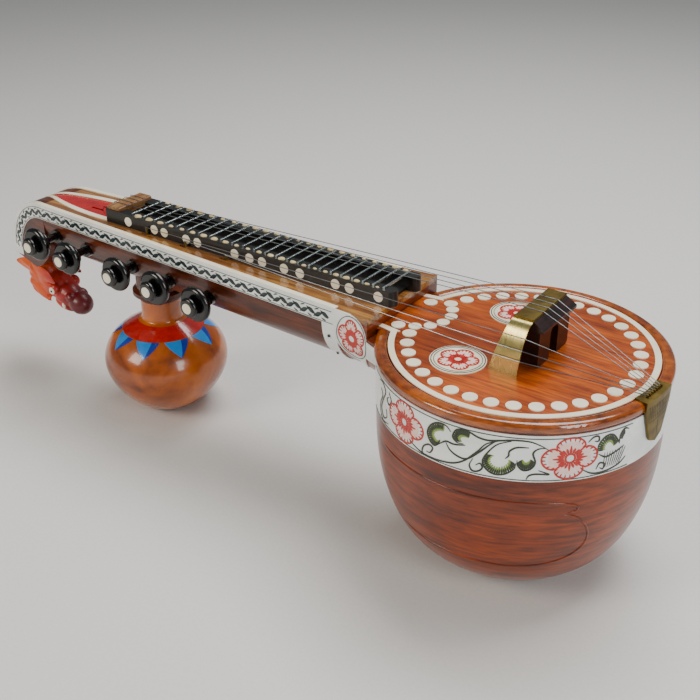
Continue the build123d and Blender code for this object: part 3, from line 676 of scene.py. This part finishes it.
class VEENA_OT_bowl_band_paint(bpy.types.Operator):
    """Paints red flowers, scrolling leaves and border lines on the bowl's white band"""
    bl_idname = "veena.bowl_band_paint"
    bl_label = "Bowl band paint"

    def execute(self, context):
        sizes = context.scene.veena_sizes
        line, thin = sizes.line_w / MM, sizes.hatch_w / MM
        leaves, washes, reds, pinks = [], [], [], []
        for lines, shaded in ((LEAF_LINES, SHADED), (TAIL_LEAF_LINES, TAIL_SHADED)):
            for name, points in lines.items():
                edge = smooth_line(points, 8)
                leaves.append(stroke(edge, line))
                first, last, centre = shaded[name]
                leaves += hatch(edge[first:last], centre, 2.9, thin * 1.25, 2)
                washes += hatch(edge[first + 1:last], centre, 4.2, thin * 2.0, 3)
        for points in STEM_LINES + TAIL_STEM_LINES + NECK_END_LINES:
            leaves.append(stroke(smooth_line(points, 8), line))
        for u in (0.0, FLOWER_GAP):
            reds += flower(u, 0.0, 13.4, 10.4, line=line, thin=thin)
            pinks.append((oval(u, 0.0, 2.9, 2.9, 40), oval(u, 0.0, 10.4, 8.2, 40)))
        for v in (10.4, -10.9):
            border = [(u, v) for u in range(-38, 120, 2)]
            leaves.append(stroke(border, 0.4, False))
        # Fan of fine lines beside the tailpiece.
        for i in range(9):
            leaves.append(stroke([(103.0 + 1.1 * i + 0.1 * k * i, -8.2 + 2.0 * k)
                                  for k in range(5)], 0.34))
        nodes = ("bowl_band", "bowl_shell")
        for side, foot in (("near", bowl_foot), ("far", bowl_foot_far)):
            skin = Skin(nodes, foot)
            paint("band_pink_" + side, pinks, skin, "pink", -0.00008)
            paint("band_leaf_wash_" + side, washes, skin, "leaf_light",
                  -0.00004)
            paint("band_flowers_" + side, reds, skin, "flower")
            paint("band_leaves_" + side, leaves, skin, "leaf")
        return {"FINISHED"}


class VEENA_OT_collar_paint(bpy.types.Operator):
    """Paints a red flower and its outline on each collar plate"""
    bl_idname = "veena.collar_paint"
    bl_label = "Collar paint"

    def execute(self, context):
        cu, cv = -77.6, -6.0
        for side, name in ((-1, "near"), (1, "far")):
            skin = Skin(("collar_plate_" + name, "collar_strap", "bowl_shell"),
                        side_foot(side))
            reds = flower(cu, cv, 8.2, 10.4, 5, pi / 2, 0.8, 0.55)
            wash = oval(cu, cv, 2.0, 2.8), oval(cu, cv, 6.4, 8.4)
            outline = stroke(oval(cu, cv, 9.4, 12.4), 0.35, False)
            paint("collar_pink_" + name, [wash], skin, "pink", -0.00006)
            paint("collar_flower_" + name, reds, skin, "flower")
            paint("collar_outline_" + name, [outline], skin, "leaf")
        return {"FINISHED"}


class VEENA_OT_neck_wave(bpy.types.Operator):
    """Paints the running wave of leaves along both sides of the neck and round the head"""
    bl_idname = "veena.neck_wave"
    bl_label = "Neck wave"

    def execute(self, context):
        start_u, end_u, wave, middle, swing = 4.0, STRAIGHT + 60.0, 9.2, 5.6, 1.6
        stem = []
        steps = int((end_u - start_u) / 0.8)
        for i in range(steps + 1):
            u = start_u + (end_u - start_u) * i / steps
            stem.append((u, middle + swing * sin(2 * pi * u / wave)))
        strips = [stroke(stem, 0.9, False)]
        u = start_u + wave / 4
        side = 1
        while u < end_u - 4:
            # One leaf lies in the hollow of each half wave.
            strips.append(leaf((u - 2.2, middle + side * 1.0), (u + 3.0, middle - side * 2.2),
                               1.0))
            strips.append(stroke([(u - 0.6 + 0.9 * k, middle + side * (2.6 - 0.1 * k * k))
                                  for k in range(4)], 0.7))
            u += wave / 2
            side = -side
        for v, width in ((2.2, 0.3), (8.9, 0.3)):
            strips.append(stroke([(start_u - 2 + 2 * i, v)
                                  for i in range(int((end_u - start_u) / 2) + 2)], width, False))
        for side, name in ((-1, "near"), (1, "far")):
            skin = Skin(("neck_edge_band_" + name, "head_scroll"), neck_foot(side))
            paint("neck_wave_" + name, strips, skin, "teal")
        return {"FINISHED"}


class VEENA_OT_rosettes(bpy.types.Operator):
    """Paints the two round flowers on the top plate"""
    bl_idname = "veena.rosettes"
    bl_label = "Rosettes"

    def execute(self, context):
        for side, name in ((-1, "near"), (1, "far")):
            low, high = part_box("rosette_" + name)
            middle = ((low + high) / 2 - BOWL) / MM
            r = (high.x - low.x) / 2 / MM
            skin = Skin(("rosette_" + name,), top_foot)
            u, v = middle.x, middle.y
            wash = ring_strip(u, v, 0.2 * r, 0.56 * r, 60)
            paint("rosette_pink_" + name, [wash], skin, "pink", -0.00006)
            paint("rosette_flower_" + name, flower(u, v, 0.72 * r, 0.72 * r, 5, pi / 2),
                  skin, "flower")
            rings = [ring_strip(u, v, 0.84 * r, 0.86 * r, 60),
                     ring_strip(u, v, 0.93 * r, 0.96 * r, 60)]
            paint("rosette_rings_" + name, rings, skin, "leaf")
        return {"FINISHED"}


class VEENA_OT_gourd_paint(bpy.types.Operator):
    """Paints the gourd's red collar ring and its hanging blue triangles, with painted shade down
    the right third of each triangle
    """
    bl_idname = "veena.gourd_paint"
    bl_label = "Gourd paint"

    def execute(self, context):
        middle = (GOURD_LOW + GOURD_HIGH) / 2
        skin = Skin(("gourd_shell",), round_foot(middle, 0.08))
        ring_top, ring_low, tip = -54.2, -59.4, -67.0
        turns = [5.0 * i for i in range(73)]
        ring = [([(t, ring_top) for t in turns], [(t, ring_low) for t in turns])]
        sky, blue = [], []
        count, half_deg, first_deg = 9, 17.0, 12.0
        steps = [k / 10 for k in range(11)]
        down = [ring_low - 0.3 + (tip - ring_low) * f for f in steps]
        for i in range(count):
            t = 360.0 * i / count + first_deg
            # Each triangle is sky blue from its left edge to the split and dark blue from the
            # split to its right edge: that dark right third is painted shade, the side of the
            # triangle turned from the light.
            left = [(t - half_deg * (1 - f), z) for f, z in zip(steps, down)]
            split = [(t + half_deg * 0.35 * (1 - f), z) for f, z in zip(steps, down)]
            right = [(t + half_deg * (1 - f), z) for f, z in zip(steps, down)]
            middles = [((a + b) / 2, z) for (a, z), (b, _) in zip(left, split)]
            sky += [(left, middles), (middles, split)]
            blue.append((split, right))
        paint("gourd_ring", ring, skin, "ring_red")
        paint("gourd_triangles_light", sky, skin, "sky")
        paint("gourd_triangles_painted_shade", blue, skin, "blue")
        return {"FINISHED"}


# Carved field on the bowl's side: degrees round the bowl, and Z.
CARVED_LINES = [
    [(-128, -40.3), (-112, -40.3), (-96, -40.3), (-80, -40.3), (-64, -40.3), (-50, -40.6),
     (-43, -41.8), (-39.5, -43.8), (-40.5, -46.2), (-44, -46.6)],
    [(-46, -47.2), (-40, -49.5), (-35.5, -55), (-33, -62), (-33.5, -69), (-38, -75),
     (-46, -79), (-58, -81.4), (-72, -82), (-88, -82), (-104, -81.6), (-122, -80.5)],
]


class VEENA_OT_bowl_carving(bpy.types.Operator):
    """Carves the beaded edges of the long panel on each side of the bowl"""
    bl_idname = "veena.bowl_carving"
    bl_label = "Bowl carving"

    def execute(self, context):
        r = context.scene.veena_sizes.groove_r
        skin = Skin(("bowl_shell",), round_foot(BOWL, 0.12))
        for side, name in ((1, "near"), (-1, "far")):
            for order, points in enumerate(CARVED_LINES, 1):
                curve = bpy.data.curves.new("carved_edge", "CURVE")
                curve.dimensions = "3D"
                curve.bevel_depth = r
                curve.bevel_resolution = 3
                curve.use_fill_caps = True
                spline = curve.splines.new("POLY")
                line = smooth_line(points, 10)
                spline.points.add(len(line) - 1)
                for i, (u, v) in enumerate(line):
                    end = min(1.0, min(i, len(line) - 1 - i) / 8 + 0.15)
                    spline.points[i].co = (*skin(side * u, v, -r * 0.35), 1.0)
                    spline.points[i].radius = end
                obj = bpy.data.objects.new("carved_edge", curve)
                context.scene.collection.objects.link(obj)
                deselect()
                obj.select_set(True)
                context.view_layer.objects.active = obj
                bpy.ops.object.convert(target="MESH")
                bpy.ops.object.mode_set(mode="EDIT")
                bpy.ops.mesh.select_all(action="SELECT")
                bpy.ops.mesh.remove_doubles(threshold=1e-6)
                bpy.ops.mesh.normals_make_consistent(inside=False)
                bpy.ops.object.mode_set(mode="OBJECT")
                bpy.ops.object.shade_smooth()
                settle(context.object, "carved_edge_%d_%s" % (order, name), "bowl")
        return {"FINISHED"}


class VEENA_OT_wax_beads(bpy.types.Operator):
    """Presses beads of pale wax between the frets' ends"""
    bl_idname = "veena.wax_beads"
    bl_label = "Wax beads"

    def execute(self, context):
        r = context.scene.veena_sizes.wax_r
        xs = sorted({round(v.co.x, 5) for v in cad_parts["frets"].data.vertices})
        groups = [[xs[0]]]
        for x in xs[1:]:
            if x - groups[-1][-1] > 0.002:
                groups.append([])
            groups[-1].append(x)
        middles = [(g[0] + g[-1]) / 2 for g in groups]
        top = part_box("fret_ledge_near")[1].z
        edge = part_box("frets")[0].y
        for side, name in ((1, "near"), (-1, "far")):
            deselect()
            made = []
            for i, (a, b) in enumerate(zip(middles, middles[1:])):
                wander = sin(12.9898 * (i + 1) + side) * 0.5
                grow = 1.0 + 0.22 * sin(7.3 * i + side) - 0.012 * i
                bpy.ops.mesh.primitive_uv_sphere_add(
                    segments=16, ring_count=8, radius=r,
                    location=((a + b) / 2 + wander * MM, side * (edge - 0.2 * MM), top))
                bead = context.object
                bead.scale = (1.25 * grow, 0.85 * grow, 0.62 * grow)
                for vertex in bead.data.vertices:
                    lump = 0.1 * sin(2200 * vertex.co.x + i) * sin(1900 * vertex.co.y + 2 * i)
                    vertex.co *= 1 + lump
                made.append(bead)
            deselect()
            for bead in made:
                bead.select_set(True)
            context.view_layer.objects.active = made[0]
            bpy.ops.object.join()
            bpy.ops.object.shade_smooth()
            settle(context.object, "wax_beads_" + name, "pale_wax")
        return {"FINISHED"}


class VEENA_OT_dragon(bpy.types.Operator):
    """Carves the dragon head under the scroll: skull, snout, jaw, crest and ears"""
    bl_idname = "veena.dragon"
    bl_label = "Dragon head"

    def egg(self, context, x, y, z, sizes, pitch=0.0):
        bpy.ops.mesh.primitive_uv_sphere_add(segments=32, ring_count=20, radius=1.0,
                                             location=at(x, y, z),
                                             rotation=(0, radians(pitch), 0))
        context.object.scale = [s * MM for s in sizes]
        return context.object

    def fin(self, context, outline, y, thick, lean=0.0):
        """A leaf-shaped plate drawn in XZ, thick in the middle and thin at its edge."""
        line = smooth_line(outline, 6, closed=True)[:-1]
        middle = (sum(p[0] for p in line) / len(line), sum(p[1] for p in line) / len(line))
        vertices, faces = [], []
        rings = 5
        for side in (-1, 1):
            for k in range(rings):
                f = 1 - k / rings
                for px, pz in line:
                    x = middle[0] + (px - middle[0]) * f
                    z = middle[1] + (pz - middle[1]) * f
                    swell = 0.25 + 0.75 * sin(pi / 2 * k / rings)
                    vertices.append(at(x, y + side * thick / 2 * swell
                                       + lean * (middle[0] - x), z))
            vertices.append(at(middle[0], y + side * thick / 2, middle[1]))
        count = len(line)
        half = rings * count + 1
        for s in (0, 1):
            base = s * half
            for k in range(rings - 1):
                for i in range(count):
                    j = (i + 1) % count
                    faces.append((base + k * count + i, base + k * count + j,
                                  base + (k + 1) * count + j, base + (k + 1) * count + i))
            for i in range(count):
                faces.append((base + (rings - 1) * count + i,
                              base + (rings - 1) * count + (i + 1) % count, base + half - 1))
        for i in range(count):
            j = (i + 1) % count
            faces.append((i, j, half + j, half + i))
        return new_mesh("fin", vertices, faces)

    def execute(self, context):
        deselect()
        # Root under the scroll, skull, snout, nose ball and jaw.
        parts = [
            self.egg(context, -351.0, 0, -50.5, (12.0, 10.8, 11.5)),
            self.egg(context, -342.0, 0, -57.0, (13.0, 9.8, 10.0), 25),
            self.egg(context, -332.5, 0, -62.0, (13.5, 8.6, 8.2), 20),
            self.egg(context, -320.5, 0, -66.6, (8.8, 7.8, 7.6), 12),
            self.egg(context, -334.0, 0, -70.6, (10.5, 5.6, 3.4), 12),
        ]
        # Brow, eye socket, nostril, ear and cheek leaf on each side.
        for side in (-1, 1):
            parts += [
                self.egg(context, -341.0, side * 8.0, -54.0, (5.2, 3.2, 3.6), 30),
                self.egg(context, -334.4, side * 8.6, -57.0, (3.9, 3.0, 3.9)),
                self.egg(context, -323.5, side * 5.2, -62.0, (4.2, 3.0, 3.0), 30),
                self.fin(context, [(-354, -45), (-345, -42.4), (-336, -44), (-329.5, -51),
                                   (-338, -52.4), (-346, -56)], side * 10.0, 3.2, side * -0.1),
                self.fin(context, [(-357, -54), (-349, -56), (-343, -62), (-341, -68),
                                   (-349, -66), (-356, -61)], side * 8.6, 3.0, side * 0.12),
            ]
        # Long crest leaf and the beard leaf under it.
        parts += [
            self.fin(context, [(-381.6, -51.0), (-372, -46.4), (-362, -44.6), (-350, -43),
                               (-349, -55), (-356, -60), (-366, -56.0)], 0, 7.0),
            self.fin(context, [(-370, -57.5), (-362, -54), (-350, -55), (-346, -66),
                               (-354, -66)], 0, 6.4),
        ]
        deselect()
        for part in parts:
            part.select_set(True)
        context.view_layer.objects.active = parts[0]
        bpy.ops.object.join()
        head = context.object
        bpy.ops.object.transform_apply(location=True, rotation=True, scale=True)
        remesh = head.modifiers.new("one skin", "REMESH")
        remesh.mode = "VOXEL"
        remesh.voxel_size = 0.55 * MM
        bpy.ops.object.modifier_apply(modifier=remesh.name)
        even = head.modifiers.new("eased", "SMOOTH")
        even.iterations = 4
        even.factor = 0.5
        bpy.ops.object.modifier_apply(modifier=even.name)
        # The mouth line and the crest's veins are carved by moving the skin.
        for vertex in head.data.vertices:
            p = (vertex.co - BOWL) / MM
            ray = -67.6 - 0.32 * (p.x + 333.0)
            if -343 < p.x < -316:
                depth = max(0.0, 1 - abs(p.z - ray) / 1.3) * 1.5
                vertex.co -= Vector((0, p.y / 9, 0.1)) * depth * MM
            if p.x < -352:
                vein = sin(1.25 * (p.z + 51.0 + 0.22 * (p.x + 366)))
                vertex.co.y += (0.28 if p.y > 0 else -0.28) * vein * MM
        bpy.ops.object.shade_smooth()
        settle(head, "dragon_head", "dragon")
        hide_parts("yali_head")
        for side, name in ((-1, "near"), (1, "far")):
            small = [
                ("eye", (-334.6, side * 10.9, -57.4), (2.5, 1.2, 2.5), 0, "white",
                 "white_celluloid"),
                ("pupil", (-334.0, side * 12.0, -57.3), (0.8, 0.4, 0.8), 0, "lacquer",
                 "black_lacquer"),
                ("tooth", (-330.0, side * 6.8, -68.6), (1.1, 1.0, 2.1), -20, "white",
                 "white_celluloid"),
            ]
            for kind, place, sizes, pitch, finish, slot in small:
                piece = self.egg(context, *place, sizes, pitch)
                bpy.ops.object.shade_smooth()
                settle(piece, "dragon_%s_%s" % (kind, name), finish)
                if (kind, name) == ("eye", "near"):
                    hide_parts("yali_eyes")
        return {"FINISHED"}


class VEENA_OT_tail_engraving(bpy.types.Operator):
    """Draws the tailpiece's engraving, border lines and a row of short cuts, as thin dark strips
    of painted shade
    """
    bl_idname = "veena.tail_engraving"
    bl_label = "Tail engraving"

    def execute(self, context):
        # Lines are in degrees round the rim, each 1.2 mm there, and millimetres of height.
        skin = Skin(("tailpiece",), round_foot(BOWL, 0.12))
        middle = -6.0
        cuts = []
        for i in range(-6, 7):
            cuts.append(stroke([(middle + 1.15 * i + 0.12 * k, -1.2 - 1.1 * k)
                                for k in range(4)], 0.16))
        for i in range(-4, 5):
            cuts.append(stroke([(middle + 1.25 * i, -6.0 - 0.8 * k) for k in range(4)], 0.14))
        for v in (-5.2, -9.6):
            cuts.append(stroke([(middle - 6.2 + 0.62 * i, v) for i in range(21)], 0.22, False))
        cuts.append(stroke([(middle, -11.0 - 1.4 * k) for k in range(6)], 0.2))
        # Each cut is a thin dark strip on the plate, painted shade for the inside of an engraved
        # groove.
        paint("tail_engraving", cuts, skin, "painted_groove_shade", -0.00006)
        return {"FINISHED"}


class VEENA_OT_stage(bpy.types.Operator):
    """Sets the floor, soft lights and the camera"""
    bl_idname = "veena.stage"
    bl_label = "Stage"

    def lamp(self, context, name, place, target, size, power, tint="#ffffff"):
        light = bpy.data.lights.new(name, "AREA")
        light.shape = "RECTANGLE"
        light.size, light.size_y = size
        light.energy = power
        light.color = linear(tint)[:3]
        obj = bpy.data.objects.new(name, light)
        context.scene.collection.objects.link(obj)
        obj.location = place
        obj.rotation_euler = (Vector(target) - Vector(place)).to_track_quat("-Z", "Y").to_euler()

    def execute(self, context):
        deselect()
        bpy.ops.mesh.primitive_plane_add(size=8.0, location=(0, 0, 0))
        floor = context.object
        floor.name = "floor"
        material, tree, shader = start("pale_studio_paper")
        fine = node(tree, "ShaderNodeTexNoise", {"Scale": 500.0, "Detail": 2.0},
                    {"Vector": object_place(tree)})
        tree.links.new(ramp(tree, fine.outputs["Fac"], [(0.3, "#d9d8d4"), (0.7, "#dedcd8")]),
                       shader.inputs["Base Color"])
        shader.inputs["Roughness"].default_value = 0.75
        floor.data.materials.append(material)
        world = context.scene.world or bpy.data.worlds.new("studio")
        context.scene.world = world
        world.use_nodes = True
        background = world.node_tree.nodes["Background"]
        background.inputs["Color"].default_value = linear("#dfe4ea")
        background.inputs["Strength"].default_value = 0.24
        middle = (0.0, 0.0, 0.07)
        self.lamp(context, "soft_overhead", (0.15, 0.35, 1.1), middle, (0.9, 0.6), 14.0)
        self.lamp(context, "soft_front", (-0.5, -1.0, 0.75), middle, (0.5, 0.5), 9.0, "#fff4e6")
        self.lamp(context, "soft_side", (1.0, -0.35, 0.5), middle, (0.3, 0.6), 5.0)
        turn, tilt, roll = radians(35.836), radians(28.73), radians(-0.482)
        back = Vector((sin(turn) * cos(tilt), -cos(turn) * cos(tilt), sin(tilt)))
        right = (-back).cross(Vector((0, 0, 1))).normalized()
        up = right.cross(-back)
        x_axis = cos(roll) * right + sin(roll) * up
        y_axis = -sin(roll) * right + cos(roll) * up
        camera = bpy.data.objects.new("camera", bpy.data.cameras.new("camera"))
        context.scene.collection.objects.link(camera)
        stand = at(189.9, -403.0, 238.9)
        camera.matrix_world = Matrix.Translation(stand) \
            @ Matrix((x_axis, y_axis, back)).transposed().to_4x4()
        camera.data.sensor_width = 36.0
        camera.data.lens = 54.0
        camera.data.clip_start = 0.01
        context.scene.camera = camera
        return {"FINISHED"}


OPERATORS = (VEENA_OT_finishes, VEENA_OT_bowl_carving, VEENA_OT_bowl_band_paint,
             VEENA_OT_collar_paint, VEENA_OT_neck_wave, VEENA_OT_rosettes,
             VEENA_OT_gourd_paint, VEENA_OT_wax_beads, VEENA_OT_dragon,
             VEENA_OT_tail_engraving, VEENA_OT_stage)


class VEENA_PT_panel(bpy.types.Panel):
    """Lists the veena's sizes, colours and pieces"""
    bl_idname = "VEENA_PT_panel"
    bl_label = "Painted Veena"
    bl_space_type = "VIEW_3D"
    bl_region_type = "UI"
    bl_category = "Veena"

    def draw(self, context):
        for group in (context.scene.veena_sizes, context.scene.veena_colours):
            for name in group.__annotations__:
                self.layout.prop(group, name)
        for operator in OPERATORS:
            self.layout.operator(operator.bl_idname)


CLASSES = (VeenaSizes, VeenaColours, *OPERATORS, VEENA_PT_panel)


def register():
    for cls in CLASSES:
        bpy.utils.register_class(cls)
    bpy.types.Scene.veena_sizes = bpy.props.PointerProperty(type=VeenaSizes)
    bpy.types.Scene.veena_colours = bpy.props.PointerProperty(type=VeenaColours)


def unregister():
    del bpy.types.Scene.veena_colours
    del bpy.types.Scene.veena_sizes
    for cls in reversed(CLASSES):
        bpy.utils.unregister_class(cls)


def main():
    register()
    for operator in OPERATORS:
        getattr(bpy.ops.veena, operator.bl_idname.split(".")[1])()
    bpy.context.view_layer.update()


if __name__ == "__main__":
    main()
